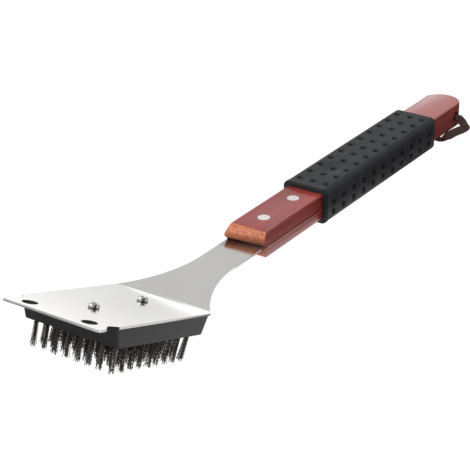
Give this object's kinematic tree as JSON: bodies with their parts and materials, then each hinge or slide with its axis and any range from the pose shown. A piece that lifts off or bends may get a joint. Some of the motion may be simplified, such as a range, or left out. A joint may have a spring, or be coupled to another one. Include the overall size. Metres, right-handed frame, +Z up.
{
  "type": "grill cleaning brush",
  "caption": "Long-handled brush for cleaning a cooking grate: steel head with a scraper lip, wire tufts, wooden handle with a rubber grip, and a leather hanging strap.",
  "frame": {"origin": "centre of the footprint of the brush without its strap, on the table it lies on", "axes": "+X along the handle, away from the head; +Y to the left of someone looking from the head to the handle's end; +Z up from the table"},
  "size_m": [0.48, 0.07, 0.0669],
  "materials": {
    "blade_steel": "polished with a fine grain",
    "block_plastic": "satin black",
    "bristle_wire": "crimped drawn wire",
    "anchor_steel": "bare strip",
    "screw_plating": "bright plated",
    "handle_wood": "satin varnish over red-brown stain",
    "rivet_aluminium": "ground flush, satin",
    "grip_rubber": "matt with pips",
    "strap_leather": "waxed, dark brown"
  },
  "bodies": {
    "brush": {"anchor_row_1": "anchor_steel", "anchor_row_2": "anchor_steel", "anchor_row_3": "anchor_steel", "anchor_row_4": "anchor_steel", "anchor_row_5": "anchor_steel", "anchor_row_6": "anchor_steel", "anchor_row_7": "anchor_steel", "anchor_row_8": "anchor_steel", "anchor_row_9": "anchor_steel", "blade": "blade_steel", "bristle_row_1": "bristle_wire", "bristle_row_2": "bristle_wire", "bristle_row_3": "bristle_wire", "bristle_row_4": "bristle_wire", "bristle_row_5": "bristle_wire", "bristle_row_6": "bristle_wire", "bristle_row_7": "bristle_wire", "bristle_row_8": "bristle_wire", "bristle_row_9": "bristle_wire", "brush_block": "block_plastic", "grip_sleeve": "grip_rubber", "handle": "handle_wood", "rivet_front": "rivet_aluminium", "rivet_rear": "rivet_aluminium", "screw_front": "screw_plating", "screw_rear": "screw_plating"},
    "strap": {"hanging_strap": "strap_leather"}
  },
  "joints": [
    {"name": "strap_swing", "type": "hinge", "parent": "brush", "child": "strap", "pos_m": [0.22447, 0, 0.01096], "axis": [0, -1, 0], "range_deg": [0, 300]}
  ]
}
